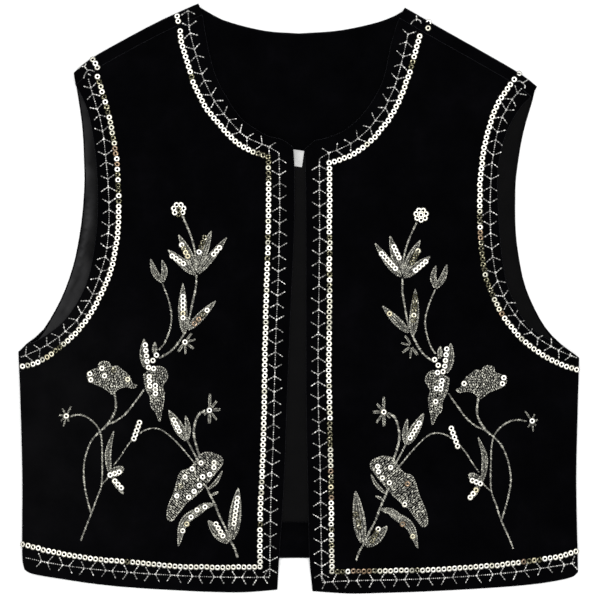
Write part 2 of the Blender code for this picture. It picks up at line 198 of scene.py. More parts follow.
# Centre line of the feather-stitched trim. The marks are the way to the first fork, the distance
# between forks that open the same way, and how far a fork's partner lies ahead of it. "nodes"
# means that the points themselves are forks, with how the first one opens and how many points
# come before it. They open forward and back in turn
TRIMS = (
    Trim(RIGHT, "armhole", ("nodes", -1, 1), (
        (172.6, 180.2), (170.4, 172.6), (169.0, 167.7), (165.4, 155.4), (163.6, 150.5),
        (160.9, 137.3), (159.9, 130.8), (158.5, 117.7), (158.0, 111.9), (156.6, 98.0),
        (156.2, 91.4), (155.7, 78.8), (155.6, 72.6), (155.7, 59.4), (156.1, 53.7), (157.4, 41.4),
        (158.7, 34.0), (162.0, 22.5), (163.9, 16.8), (168.9, 3.7), (171.6, -2.0), (178.2, -12.3),
        (181.9, -17.6), (191.5, -27.0), (196.6, -31.4), (206.4, -38.0), (212.4, -41.4),
        (224.1, -46.6), (228.4, -48.2),
    )),
    Trim(RIGHT, "neck", ("nodes", 1, 0), (
        (90.8, 236.0), (90.0, 223.4), (89.0, 217.7), (85.7, 204.6), (84.0, 199.2), (79.5, 184.1),
        (77.5, 178.8), (71.8, 166.9), (69.1, 161.9), (61.4, 151.3), (57.2, 146.2), (48.2, 136.5),
        (42.4, 132.0), (30.1, 126.4), (24.4, 124.2), (16.4, 119.3),
    )),
    Trim(RIGHT, "edge", (4.9, 19.8, 13.0), (
        (16.2, 119.3), (15.6, 80.8), (16.2, 39.8), (16.7, 20.9), (17.4, 2.0), (18.3, -17.6),
        (19.2, -45.5), (20.0, -72.6), (20.9, -116.0), (21.8, -136.5), (22.5, -152.9),
        (23.1, -173.4), (23.5, -206.2), (24.0, -228.6),
    )),
    Trim(RIGHT, "hem", (9.8, 17.8, 12.6), (
        (24.2, -229.0), (35.9, -229.2), (64.6, -228.9), (86.7, -228.2), (107.2, -227.1),
        (126.9, -225.9), (146.6, -224.3), (166.3, -222.5), (182.7, -220.4), (199.1, -217.9),
        (210.5, -215.6), (224.5, -212.4),
    )),
    Trim(LEFT, "armhole", ("nodes", -1, 1), (
        (182.9, 172.4), (179.4, 168.5), (175.0, 163.4), (170.0, 154.6), (166.8, 148.8),
        (162.9, 136.5), (161.5, 130.0), (159.5, 117.7), (158.5, 111.1), (157.6, 98.0),
        (157.3, 91.4), (156.9, 78.6), (156.9, 71.8), (157.1, 60.3), (157.3, 53.7), (158.3, 41.0),
        (159.2, 34.0), (161.3, 20.9), (163.1, 14.3), (168.0, 2.0), (171.2, -3.7), (177.5, -13.5),
        (181.8, -19.0), (190.4, -27.7), (196.0, -32.4), (207.0, -39.2), (213.0, -42.4),
        (223.0, -46.8), (228.6, -48.8),
    )),
    Trim(LEFT, "neck", ("nodes", -1, 0), (
        (89.6, 216.9), (88.2, 210.3), (85.5, 198.4), (83.9, 191.9), (80.6, 180.0), (78.5, 173.4),
        (73.2, 161.9), (70.9, 156.4), (62.7, 145.8), (58.4, 140.2), (48.4, 131.2), (42.6, 127.1),
        (31.0, 121.6), (24.8, 119.4), (16.6, 114.4),
    )),
    Trim(LEFT, "edge", (5.5, 19.7, 13.6), (
        (16.9, 114.4), (17.0, 48.8), (16.3, -10.2), (15.8, -54.5), (16.3, -99.6), (17.2, -124.2),
        (17.8, -161.1), (18.4, -198.0), (18.9, -223.4), (19.1, -232.6),
    )),
    Trim(LEFT, "hem", (8.8, 19.7, 13.4), (
        (19.2, -233.4), (31.0, -232.5), (50.2, -231.8), (79.7, -231.2), (99.4, -230.5),
        (117.5, -229.6), (137.1, -228.3), (160.1, -226.4), (180.6, -224.2), (200.3, -221.2),
        (217.9, -218.4), (227.0, -216.6),
    )),
)
FORK_ASIDE = 6.2
FORK_AHEAD = 3.6

# Loose ends of the trim that run over the shoulder seams to the fold
SHOULDER_STROKES = (
    (RIGHT, ((173.4, 187.2), (175.7, 190.2), (177.4, 190.6), (181.0, 188.8))),
    (RIGHT, ((175.7, 190.2), (174.3, 192.8))),
    (RIGHT, ((173.2, 187.0), (175.6, 183.4), (176.5, 180.4))),
    (RIGHT, ((173.2, 187.0), (171.2, 187.5), (167.2, 186.0))),
    (RIGHT, ((172.9, 184.4), (170.6, 182.9))),
    (LEFT, ((183.5, 176.7), (181.2, 178.5), (178.6, 178.0))),
    (LEFT, ((96.5, 232.2), (96.6, 229.8), (96.3, 227.8))),
    (LEFT, ((96.5, 229.2), (93.8, 227.8), (91.8, 224.8))),
    (LEFT, ((96.5, 229.2), (99.2, 228.2), (100.6, 225.4))),
    (LEFT, ((183.5, 176.7), (185.6, 174.6), (185.2, 172.4))),
    (LEFT, ((183.5, 176.7), (186.3, 178.4), (188.6, 180.2))),
)

# The spray as it lies on the right front
STEMS = (
    Stem(2.2, ((95.2, 67.4), (90.6, 57.0), (86.8, 46.0), (84.4, 33.0), (83.9, 22.0))),
    Stem(2.2, ((83.9, 19.5), (84.4, 9.4), (87.0, -2.9), (89.2, -13.5), (91.0, -22.0))),
    Stem(1.7, (
        (111.8, 12.5), (106.9, -0.8), (104.4, -13.5), (105.5, -24.5), (110.1, -36.5),
        (114.6, -42.0),
    )),
    Stem(2.2, ((93.2, -27.8), (99.6, -37.4), (104.8, -43.0), (110.1, -46.4), (114.6, -48.8))),
    Stem(2.3, ((151.2, -77.0), (149.9, -86.0), (150.4, -92.0), (155.0, -100.4), (160.6, -107.2))),
    Stem(1.9, (
        (126.4, -74.0), (134.6, -85.3), (142.6, -95.0), (150.7, -100.8), (156.8, -103.4),
        (162.6, -108.6), (169.3, -115.6), (173.4, -124.4), (175.8, -134.0), (176.3, -145.0),
        (175.2, -156.2), (172.8, -166.9), (170.4, -176.0),
    )),
    Stem(1.8, (
        (187.2, -96.6), (181.0, -95.3), (174.6, -96.8), (168.0, -101.6), (163.4, -108.0),
        (161.6, -117.0), (161.2, -133.2), (161.3, -147.0), (162.2, -155.0), (165.4, -163.6),
        (169.8, -175.3), (174.6, -187.6), (178.8, -198.6),
    )),
    Stem(1.5, ((152.0, -137.0), (146.2, -129.6), (141.0, -121.4), (136.4, -115.6))),
    Stem(1.6, ((161.4, -152.6), (157.0, -147.4), (153.6, -142.0))),
    Stem(1.6, (
        (130.6, -110.6), (126.2, -108.0), (119.2, -106.2), (112.0, -108.0), (103.0, -115.0),
        (94.6, -123.8), (88.2, -131.6), (84.0, -136.6),
    )),
    Stem(2.0, ((91.4, -116.4), (87.6, -123.6), (84.2, -130.0), (82.0, -134.4))),
    Stem(2.6, (
        (76.6, -91.9), (82.0, -95.0), (85.4, -103.4), (86.0, -112.0), (83.8, -121.4),
        (80.8, -130.4),
    )),
    Stem(2.4, (
        (76.4, -153.0), (73.0, -160.6), (69.0, -168.4), (65.0, -178.4), (60.0, -188.6),
        (56.2, -198.0), (52.6, -205.0), (50.2, -212.4),
    )),
    Stem(1.5, ((75.6, -172.0), (73.2, -169.2), (70.6, -168.6))),
)

LEAVES = (
    Leaf(84.6, 19.6, 107.4, 40.0, 7.6, 0.0),
    Leaf(85.2, 23.0, 98.6, 52.4, 7.2, 0.02),
    Leaf(83.4, 24.0, 71.6, 55.6, 7.4, 0.0),
    Leaf(83.0, 20.0, 59.0, 50.2, 6.6, 0.0),
    Leaf(93.8, -29.6, 94.9, 12.6, 7.8, -0.02),
    Leaf(91.2, -25.8, 68.0, -1.8, 7.0, 0.0),
    Leaf(112.0, 13.0, 121.4, 32.6, 5.4, -0.08),
    Leaf(111.6, 13.4, 112.2, 31.8, 5.0, 0.10),
    Leaf(124.8, -57.8, 126.8, -33.0, 7.6, -0.04),
    Leaf(118.4, -46.0, 118.0, -35.6, 4.2, 0.0),
    Leaf(155.2, -144.0, 151.6, -108.6, 5.0, -0.08),
    Leaf(154.0, -144.0, 143.4, -138.6, 8.0, 0.0),
    Leaf(153.0, -146.0, 143.6, -160.6, 5.0, 0.0),
    Leaf(92.0, -116.6, 106.8, -91.4, 8.6, 0.0),
    Leaf(91.6, -116.6, 92.8, -95.8, 4.8, 0.06),
    Leaf(75.4, -170.6, 98.9, -203.4, 7.6, 0.19),
    Leaf(69.8, -168.8, 88.0, -177.2, 5.2, 0.10),
    Leaf(54.6, -198.0, 49.6, -155.2, 10.6, 0.0),
    Leaf(57.6, -200.4, 74.4, -181.8, 9.0, -0.04),
    Leaf(74.2, -156.4, 62.6, -141.0, 2.8, 0.08),
    Leaf(71.6, -161.4, 65.8, -158.4, 2.0, 0.0),
)

# Petals and hearts that are worked as one field. The turn is the stitches' angle from +out,
# then come their longest reach and how far apart their rows lie
FILLS = (
    Fill(68, 2.4, 1.40, (
        (172.9, -60.7), (170.0, -58.9), (164.3, -56.5), (163.6, -52.9), (159.7, -51.3),
        (155.5, -52.6), (153.7, -55.9), (149.4, -55.1), (146.4, -57.3), (141.7, -60.7),
        (138.1, -65.5), (136.3, -69.8), (133.0, -70.9), (135.0, -73.4), (141.0, -72.4),
        (145.5, -73.0), (149.2, -75.2), (152.6, -78.4), (156.4, -75.6), (160.4, -73.0),
        (166.4, -70.4), (171.1, -68.0), (173.5, -64.3),
    )),
    Fill(96, 2.4, 1.40, (
        (127.0, -61.9), (126.0, -71.6), (121.8, -81.2), (121.2, -88.4), (117.5, -93.2),
        (113.9, -101.0), (112.5, -93.2), (111.0, -86.0), (110.3, -77.6), (111.6, -71.6),
        (107.4, -64.4), (109.2, -58.3), (112.8, -55.9), (117.0, -55.9), (121.2, -58.3),
    )),
    Fill(42, 3.4, 1.50, (
        (85.1, -134.1), (81.5, -128.1), (73.7, -126.0), (68.3, -127.5), (62.9, -130.5),
        (62.4, -135.3), (65.2, -139.5), (70.6, -146.1), (76.7, -153.3), (80.3, -157.6),
        (87.5, -164.2), (92.3, -167.8), (95.9, -172.6), (100.7, -178.6), (103.8, -182.2),
        (107.4, -181.1), (108.0, -175.0), (106.2, -167.8), (103.1, -160.6), (100.7, -153.3),
        (98.9, -146.1), (95.9, -141.3), (91.1, -140.1), (87.5, -137.1),
    )),
)

# Small blunt petals round a sequin: where it is, then each one's turn in degrees from +out, its
# length from the middle and its width
RAYS = [
    Ray(*middle, *petal) for middle, petals in (
        ((93.3, -35.7), (
            (218, 9.0, 2.2), (267, 10.2, 1.8), (166, 9.0, 1.8), (126, 9.6, 2.0), (306, 10.0, 2.6),
        )),
        ((73.3, -91.6), (
            (92, 14.0, 2.6), (128, 10.4, 2.2), (176, 9.6, 3.0), (232, 10.8, 1.8), (270, 11.0, 3.0),
            (318, 7.0, 1.4),
        )),
        ((190.6, -96.3), (
            (62, 7.4, 1.2), (116, 9.6, 1.4), (8, 6.8, 1.4), (318, 6.6, 1.2), (286, 9.4, 1.2),
            (246, 6.0, 1.2),
        )),
    ) for petal in petals
]

# Sequins of the spray, in rows or by themselves: the shines, then the place of the first one and
# of the last
BEADS = {
    RIGHT: (
        ("ssss", 103.7, 34.9, 94.6, 28.6), ("sdgg", 95.9, 43.9, 91.0, 34.6),
        ("sss", 65.0, 41.6, 69.8, 36.4), ("sddd", 81.6, 38.2, 77.0, 50.0),
        ("ssssgs", 94.9, 1.6, 94.9, -15.8), ("sdcc", 75.2, -9.6, 85.4, -20.6), ("s", 93.3, -35.7),
        ("ssss", 125.9, -38.1, 124.3, -51.6), ("ss", 123.1, -56.4, 118.9, -57.4),
        ("ss", 116.7, -46.4, 119.6, -50.8), ("sss", 122.6, -64.0, 122.1, -71.8),
        ("sss", 117.6, -71.4, 117.4, -78.0), ("ss", 171.3, -61.8, 170.4, -66.6),
        ("s", 161.4, -57.2), ("s", 159.2, -63.4), ("d", 151.6, -58.6), ("g", 140.2, -66.2),
        ("s", 190.6, -96.3), ("sssss", 130.5, -101.6, 135.1, -114.8),
        ("sss", 154.6, -144.6, 147.2, -142.2), ("sss", 150.8, -149.6, 145.6, -155.2),
        ("ssss", 102.6, -99.5, 97.9, -108.7), ("s", 73.3, -91.6), ("s", 87.4, -139.6),
        ("s", 93.3, -146.2), ("d", 97.0, -154.0), ("s", 100.0, -161.8),
        ("sss", 90.2, -162.8, 81.4, -153.2), ("ss", 78.8, -146.2, 73.0, -144.2),
        ("s", 80.2, -134.8), ("ss", 69.4, -134.6, 69.6, -138.6), ("ss", 76.9, -170.8, 83.4, -173.4),
        ("sgs", 88.4, -179.2, 95.2, -190.4), ("sssssss", 50.2, -163.6, 53.2, -184.6),
        ("ssss", 67.9, -184.9, 62.2, -194.6),
    ),
    LEFT: (
        ("ssssss", 67.9, 36.7, 79.2, 24.7), ("ssss", 78.0, 42.3, 82.2, 33.4),
        ("gdddd", 97.7, 39.0, 92.8, 29.5), ("ssss", 104.0, 30.3, 95.8, 23.2),
        ("ddddgd", 95.3, 1.5, 94.0, -17.6), ("g", 74.4, -12.4),
        ("ssss", 121.3, -41.5, 119.7, -55.5), ("ss", 118.2, -59.9, 113.8, -60.7),
        ("ss", 111.4, -50.1, 114.3, -54.7), ("sss", 117.4, -67.3, 116.3, -74.3),
        ("s", 112.8, -73.8), ("s", 112.2, -84.5), ("s", 69.7, -93.0),
        ("sssss", 98.7, -102.2, 91.2, -114.3), ("sssss", 125.0, -106.4, 130.2, -121.0),
        ("s", 135.5, -69.7), ("ss", 168.0, -64.9, 166.9, -69.8), ("s", 191.4, -100.4),
        ("sss", 142.3, -149.2, 148.9, -151.7), ("gss", 145.3, -157.0, 140.6, -163.0),
        ("ss", 64.6, -137.6, 65.3, -141.9), ("s", 75.3, -138.4), ("ss", 68.5, -147.1, 74.3, -150.9),
        ("c", 89.0, -151.9), ("s", 86.8, -168.8), ("c", 85.1, -184.9), ("g", 93.5, -195.0),
        ("d", 46.6, -177.0), ("dd", 49.0, -183.2, 49.4, -187.3),
        ("sddd", 65.1, -189.0, 60.0, -198.4),
    ),
}
# The way that a sequin by itself leans
LONE_WAY = (0.29, -0.96)

# The round head of each spray: its middle sequin, then the ring about it from the lowest one on
HEADS = {
    RIGHT: Head(98.4, 73.0, 4.1, "ddssssss"),
    LEFT: Head(100.2, 68.5, 4.1, "ssssssss"),
}

# The left front's spray lies a little otherwise: at places (out, up) of the right one, how much
# further out and up the left one's forms sit than in a true mirror image
SHIFTS = np.array([
    (98.5, 73.4, 2.1, -4.9), (59.0, 50.2, 3.5, -4.8), (71.6, 55.6, 3.2, -4.0),
    (107.4, 40.0, 0.2, -5.4), (84.0, 20.5, 1.4, -1.8), (112.0, 13.0, 0.2, -4.9),
    (94.9, 12.6, 0.6, -4.9), (93.8, -29.6, 0.0, -1.0), (68.0, -1.8, 0.5, -4.4),
    (93.3, -36.5, -1.2, -3.8), (118.0, -60.0, -4.8, -3.5), (113.9, -101.0, -4.2, -2.1),
    (154.0, -64.4, -5.0, -3.2), (163.0, -108.3, -3.1, -4.5), (151.6, -108.6, -4.8, -5.2),
    (154.0, -144.0, -4.9, -7.0), (170.4, -176.0, -4.3, -6.0), (176.3, -145.0, -2.2, -4.2),
    (190.6, -96.3, 0.9, -4.1), (73.3, -91.6, -3.6, -1.2), (133.0, -108.0, -5.8, -4.6),
    (119.2, -106.2, -5.1, -4.3), (106.8, -91.4, -4.4, -2.6), (75.0, -140.0, -4.4, -2.7),
    (104.0, -181.0, -2.4, -5.2), (98.9, -203.4, -1.2, -1.4), (74.4, -181.6, -1.7, -4.8),
    (49.6, -155.2, -3.0, -2.2), (52.8, -210.8, -3.1, -2.0), (178.6, -198.0, -2.9, -6.6),
])


def fine_curve(points):
    """A smooth curve through the points, as many short steps."""
    points = np.asarray(points, float)
    padded = np.vstack([2 * points[0] - points[1], points, 2 * points[-1] - points[-2]])
    along = np.linspace(0, 1, 24, endpoint=False)[:, None]
    stretches = []
    for a, b, c, d in zip(padded, padded[1:], padded[2:], padded[3:]):
        reach = np.linalg.norm(c - b)
        leave = (c - a) / (np.linalg.norm(b - a) + reach) * reach
        arrive = (d - b) / (np.linalg.norm(d - c) + reach) * reach
        stretches.append(
            (2 * along**3 - 3 * along**2 + 1) * b
            + (along**3 - 2 * along**2 + along) * leave
            + (3 * along**2 - 2 * along**3) * c
            + (along**3 - along**2) * arrive
        )
    return np.vstack([*stretches, points[-1]])


def lengths(line):
    return np.concatenate([[0.0], np.cumsum(np.linalg.norm(np.diff(line, axis=0), axis=1))])


def at_lengths(line, wanted):
    """Points on the line and the way along it there."""
    length = lengths(line)

    def at(places):
        return np.stack([np.interp(places, length, line[:, k]) for k in (0, 1)], axis=1)

    way = at(wanted + 0.4) - at(wanted - 0.4)
    return at(wanted), way / np.maximum(np.linalg.norm(way, axis=1), 1e-9)[:, None]


def evened(points, step):
    """Points about a step apart on a smooth curve through the given ones."""
    line = fine_curve(points)
    total = lengths(line)[-1]
    return at_lengths(line, np.linspace(0, total, max(2, round(total / step) + 1)))


def square(way):
    """The way turned a quarter to the left."""
    return np.stack([-way[..., 1], way[..., 0]], axis=-1)


def unit(ways):
    return ways / np.linalg.norm(ways, axis=-1, keepdims=True)


def heading(turn):
    """The way at an angle from +X, or from +out."""
    return np.array([math.cos(turn), math.sin(turn)])


def sided(side, points):
    """(out, up) points of one half as (x, y)."""
    return np.asarray(points, float) * (side, 1)


def finder_of(points):
    """A search tree for the nearest of the (x, y) points."""
    finder = kdtree.KDTree(len(points))
    for number, (x, y) in enumerate(points):
        finder.insert((x, y, 0), number)
    finder.balance()
    return finder


# Cloth

def welded(node):
    work = bmesh.new()
    work.from_mesh(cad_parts[node].data)
    bmesh.ops.remove_doubles(work, verts=work.verts, dist=1e-5)
    work.normal_update()
    return work


def rim_loop(work):
    """The edge of the solid's upper face as a loop of (x, y) in mm, anticlockwise."""
    upper = {face.index for face in work.faces if face.normal.z > 0.5}
    beside = {}
    for edge in work.edges:
        if sum(face.index in upper for face in edge.link_faces) == 1:
            first, second = edge.verts
            beside.setdefault(first.index, []).append(second.index)
            beside.setdefault(second.index, []).append(first.index)
    work.verts.ensure_lookup_table()
    order = [next(iter(beside))]
    before = None
    while True:
        ways = [v for v in beside[order[-1]] if v != before]
        before = order[-1]
        if ways[0] == order[0]:
            break
        order.append(ways[0])
    loop = np.array([work.verts[v].co[:2] for v in order]) / MM
    x, y = loop.T
    area = np.sum(x * np.roll(y, -1) - np.roll(x, -1) * y)
    return loop if area > 0 else loop[::-1]


def smooth_loop(loop, step):
    """The loop in even steps, smooth between its corners."""
    ahead = np.roll(loop, -1, axis=0) - loop
    behind = loop - np.roll(loop, 1, axis=0)
    cosine = np.sum(ahead * behind, axis=1)
    cosine /= np.linalg.norm(ahead, axis=1) * np.linalg.norm(behind, axis=1)
    sharp_turn = math.radians(26)
    corners = np.flatnonzero(cosine < math.cos(sharp_turn))
    stretches = []
    for first, last in zip(corners, np.roll(corners, -1)):
        count = (last - first) % len(loop)
        points = loop[(first + np.arange(count + 1)) % len(loop)]
        stretches.append(evened(points, step)[0][:-1])
    return np.vstack(stretches)


def loop_inward(loop):
    """At each point of an anticlockwise loop, the way in that keeps an even distance."""
    normal = square(unit(np.roll(loop, -1, axis=0) - loop))
    inward = unit(normal + np.roll(normal, 1, axis=0))
    cosine = np.clip(np.sum(inward * normal, axis=1), 0.6, 1.0)
    return inward / cosine[:, None]


def inside(points, loop):
    """Which points lie inside the loop."""
    x, y = points.T
    within = np.zeros(len(points), bool)
    for (ax, ay), (bx, by) in zip(loop, np.roll(loop, -1, axis=0)):
        if ay == by:
            continue
        crosses = (ay > y) != (by > y)
        within ^= crosses & (x < (bx - ax) * (y - ay) / (by - ay) + ax)
    return within


def spread_points(loop, spacing):
    """Evenly spread points inside the loop, clear of its edge."""
    low = loop.min(axis=0)
    high = loop.max(axis=0)
    rows = np.arange(low[1], high[1], spacing * math.sqrt(0.75))
    columns = np.arange(low[0], high[0], spacing)
    x = columns[None, :] + (np.arange(len(rows)) % 2)[:, None] * spacing / 2
    points = np.stack([x, np.broadcast_to(rows[:, None], x.shape)], axis=2).reshape(-1, 2)
    points = points[inside(points, loop)]
    finder = finder_of(loop)
    clear = [finder.find((px, py, 0))[2] > spacing * 0.7 for px, py in points]
    return points[np.array(clear)]


def banded(rings):
    """Faces that join each ring of vertices to the next one."""
    return np.vstack([
        np.stack([a, b, np.roll(b, -1), np.roll(a, -1)], axis=1) for a, b in zip(rings, rings[1:])
    ])


def triangulated(ring, points):
    verts, _, faces, first_of, _, _ = geometry.delaunay_2d_cdt(
        [tuple(p) for p in np.vstack([ring, points])],
        [(k, (k + 1) % len(ring)) for k in range(len(ring))], [], 1, 1e-7,
    )
    place = {}
    for number, sources in enumerate(first_of):
        for source in sources:
            place[source] = number
    return np.array([v[:] for v in verts]), np.array(faces), [place[k] for k in range(len(ring))]


def cast_height(tree, points, default):
    """Height in mm of the surface under each (x, y), seen from above."""
    heights = np.full(len(points), default, float)
    for number, (x, y) in enumerate(points):
        hit = tree.ray_cast((x * MM, y * MM, ABOVE_ALL * MM), (0, 0, -1))[0]
        if hit is not None:
            heights[number] = hit.z / MM
    return heights


def relaxed(height, faces, times):
    """The heights averaged with their neighbours' again and again."""
    edges = np.vstack([faces[:, [0, 1]], faces[:, [1, 2]], faces[:, [2, 0]]])
    near, far = np.concatenate([edges, edges[:, ::-1]]).T
    count = np.maximum(np.bincount(near, minlength=len(height)), 1)
    for _ in range(times):
        mean = np.bincount(near, weights=height[far], minlength=len(height)) / count
        height = 0.4 * height + 0.6 * mean
    return height


def crease_height(creases, points):
    """The height of slightly bent folds that fade towards their ends."""
    height = np.zeros(len(points))
    for crease in creases:
        start = sided(crease.side, (crease.out, crease.up))
        run = sided(crease.side, (crease.to_out, crease.to_up)) - start
        length = np.linalg.norm(run)
        share = ((points - start) @ run) / (run @ run)
        within = np.clip(share, 0, 1)
        swell = np.sin(within * math.pi)
        foot = start + within[:, None] * run
        aside = (points - foot) @ square(run) / length - 0.06 * length * swell
        past = np.maximum(np.abs(share - 0.5) - 0.5, 0) * length
        fade = 0.45 + 0.55 * swell
        height += crease.height * fade * np.exp(-(aside**2 + past**2) / (0.5 * crease.width) ** 2)
    return height


def waves(points, seed, longest, amount):
    """A gentle unevenness, the same each time."""
    source = np.random.default_rng(seed)
    height = np.zeros(len(points))
    for number in range(9):
        wavelength = longest / (1 + 0.45 * number)
        turn = source.uniform(0, math.pi)
        phase = source.uniform(0, 2 * math.pi)
        along = points @ heading(turn)
        height += amount / (1 + 0.5 * number) * np.sin(2 * math.pi * along / wavelength + phase)
    return height


def seam_dip(side, points):
    """Sewn rows pull the velvet in: a shallow channel that puckers a little."""
    step, pucker_length, channel_width = 1.2, 6.6, 3.4
    sewn = []
    for row in (*SEQUIN_ROWS, *TRIMS):
        if row.side == side:
            line, _ = evened(sided(side, row.points), step)
            depth = 0.30 if isinstance(row, Row) else 0.16
            sewn += [(x, y, k * step, depth) for k, (x, y) in enumerate(line)]
    finder = finder_of([(x, y) for x, y, _, _ in sewn])
    dip = np.zeros(len(points))
    for number, (x, y) in enumerate(points):
        _, nearest, distance = finder.find((x, y, 0))
        _, _, along, depth = sewn[nearest]
        drift = 1.3 * math.sin(along / 17.0)
        pucker = 1 + 0.35 * math.sin(2 * math.pi * along / pucker_length + drift)
        dip[number] = -depth * pucker * math.exp(-((distance / channel_width) ** 2))
    return dip


def velvet_front(side):
    return lambda points: (
        crease_height([c for c in CREASES["front"] if c.side == side], points)
        + waves(points, seed=5 + side, longest=46, amount=0.07)
        + seam_dip(side, points)
    )


def lining_relief(points):
    unevenness = waves(points, seed=21, longest=24, amount=0.03)
    return crease_height(CREASES["back_lining"], points) * 0.6 + unevenness


def eased(value, low, high):
    """0 below low, 1 above high, and a soft rise between them."""
    share = np.clip((value - low) / (high - low), 0, 1)
    return share * share * (3 - 2 * share)


def painted_satin_highlight(points):
    """Painted highlight: a lighter satin colour on one slope of each fold, most in the right
    armhole.
    """
    step = 1.5
    slope = lining_relief(points + (step, 0.6)) - lining_relief(points - (step, 0.6))
    slope = slope / (2 * step)
    right_hole = eased(-points[:, 0], 164, 176)
    outward = eased(-points[:, 0], 168, 192)
    cloud = 0.34 + 0.30 * outward + waves(points, seed=23, longest=60, amount=0.10)
    cloud *= 0.55 + 0.45 * eased(points[:, 1], -30, 40)
    cloud *= 1 - 0.35 * eased(points[:, 1], 110, 170)
    # Painted light: a faint lift of the lining's colour, fading out to the left between 120 and 150
    # mm, and coming back fainter outward in the left armhole
    open_gap = 0.008 * eased(-points[:, 0], -150, -120) + 0.004 * eased(points[:, 0], 165, 200)
    return np.clip(open_gap + right_hole * (0.62 * cloud + 2.4 * slope), 0, 1)


def painted_velvet_bloom(points):
    """Where the velvet's colour is painted paler as bloom of its sheen: low on the right front's
    side.
    """
    aside = eased(-points[:, 0], 60, 215)
    below = eased(-points[:, 1], -90, 90) * (1 - 0.45 * eased(-points[:, 1], 130, 215))
    patches = waves(points, seed=51, longest=90, amount=0.10)
    return np.clip(aside * below * (0.85 + patches), 0, 1)


def linked(name, data):
    made = bpy.data.objects.new(name, data)
    bpy.context.scene.collection.objects.link(made)
    return made


def mesh_piece(name, verts, quads, triangles, finish):
    """A mesh object from arrays, smooth shaded."""
    mesh = bpy.data.meshes.new(name)
    mesh.vertices.add(len(verts))
    mesh.vertices.foreach_set("co", (np.asarray(verts) * MM).astype(np.float32).ravel())
    corners = np.concatenate([np.ravel(quads), np.ravel(triangles)]).astype(np.int32)
    starts = np.concatenate([
        np.arange(len(quads)) * 4, len(quads) * 4 + np.arange(len(triangles)) * 3,
    ]).astype(np.int32)
    mesh.loops.add(len(corners))
    mesh.loops.foreach_set("vertex_index", corners)
    mesh.polygons.add(len(starts))
    mesh.polygons.foreach_set("loop_start", starts)
    mesh.update(calc_edges=True)
    mesh.validate()
    mesh.shade_smooth()
    mesh.materials.append(finish)
    return linked(name, mesh)


def point_layer(piece, name, values):
    """A value or a colour at each vertex, for the materials."""
    kind, field = ("FLOAT_COLOR", "color") if values.ndim > 1 else ("FLOAT", "value")
    layer = piece.data.attributes.new(name, kind, "POINT")
    layer.data.foreach_set(field, values.astype(np.float32).ravel())


def free_share(loop, inward, seam_tree):
    """1 along the loop's free edges, and little where another cloth is sewn on level with it."""
    if seam_tree is None:
        return np.ones(len(loop))
    beside = cast_height(seam_tree, loop - inward * 0.9, OFF_CLOTH)
    return np.where(beside > STRAP_HEIGHT, 0.15, 1.0)


def laid_cloth(name, cloth, seam_tree=None):
    """The CAD solid's own outline and heights as a fine closed sheet with rounded edges."""
    work = welded(cloth.node)
    tree = BVHTree.FromBMesh(work)
    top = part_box(cloth.node)[1].z / MM
    loop = smooth_loop(rim_loop(work), min(EDGE_STEP, cloth.spacing))
    work.free()
    inward = loop_inward(loop)
    curve = cloth.round * free_share(loop, inward, seam_tree)
    ring = loop + inward * curve[:, None]
    verts, faces, ring_place = triangulated(ring, spread_points(ring, cloth.spacing))
    count = len(verts)
    height = relaxed(cast_height(tree, verts, top), faces, times=26)
    upper = height + cloth.relief(verts)
    lower = height - cloth.thickness
    levels = [np.column_stack([verts, upper]), np.column_stack([verts, lower])]
    rings = [np.array(ring_place)]
    for face, way, angles in ((upper, -1, (60, 30, 0)), (lower, 1, (0, 30, 60))):
        for angle in angles:
            inset = curve * (1 - math.cos(math.radians(angle)))
            rise = way * curve * (1 - math.sin(math.radians(angle)))
            edge = loop + inward * inset[:, None]
            rings.append(sum(len(level) for level in levels) + np.arange(len(loop)))
            levels.append(np.column_stack([edge, face[ring_place] + rise]))
    rings.append(np.array(ring_place) + count)
    triangles = np.vstack([faces, faces[:, ::-1] + count])
    points = np.vstack(levels)
    piece = mesh_piece(name, points, banded(rings), triangles, cloth.finish)
    if cloth.shade is not None:
        layer, shade = cloth.shade
        point_layer(piece, layer, shade(points[:, :2]))
    return piece


def soft_copy(name, node, spacing, finish):
    """A finer copy of a folded solid, with its sharp edges rounded."""
    work = welded(node)
    low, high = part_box(node)
    for axis in (0, 1):
        normal = np.eye(3)[axis]
        for place in np.arange(low[axis] + spacing * MM, high[axis], spacing * MM):
            bmesh.ops.bisect_plane(
                work, geom=[*work.verts, *work.edges, *work.faces],
                plane_co=normal * place, plane_no=normal,
            )
    mesh = bpy.data.meshes.new(name)
    work.to_mesh(mesh)
    work.free()
    mesh.shade_smooth()
    mesh.materials.append(finish)
    piece = linked(name, mesh)
    bevel = piece.modifiers.new("Rounded", "BEVEL")
    bevel.width = 0.25 * MM
    bevel.segments = 2
    bevel.limit_method = "ANGLE"
    bevel.angle_limit = math.radians(50)
    return piece


# Materials

